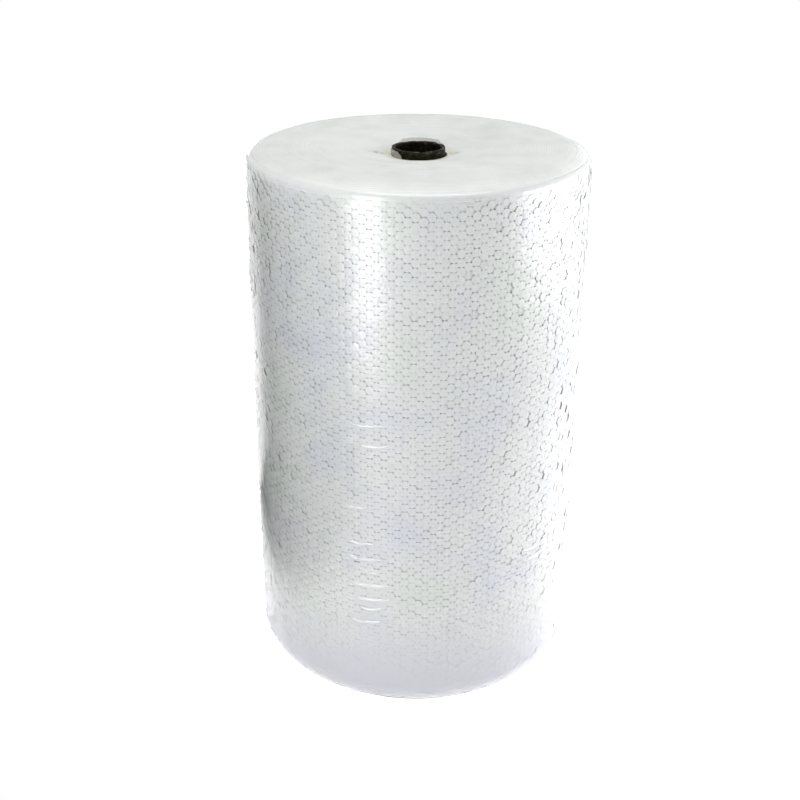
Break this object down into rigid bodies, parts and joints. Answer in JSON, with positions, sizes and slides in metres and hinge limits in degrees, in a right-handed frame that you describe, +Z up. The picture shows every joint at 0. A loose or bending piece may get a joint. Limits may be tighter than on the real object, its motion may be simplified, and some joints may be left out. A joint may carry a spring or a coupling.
{
  "type": "bubble film roll",
  "caption": "Large roll of small-bubble cushioning film wound on an open paperboard core, standing on one end.",
  "frame": {"origin": "centre of the core's bore at the end that the roll stands on", "axes": "+Z up along the core; the sheet's free end lies 115 degrees round from +X towards +Y, at the back of the pictured side"},
  "size_m": [0.4635, 0.4652, 0.75],
  "materials": {
    "bubble_film": "satin",
    "core_board": "satin"
  },
  "bodies": {
    "root": {"bubble_film_roll": "bubble_film", "core_tube": "core_board"}
  },
  "joints": []
}
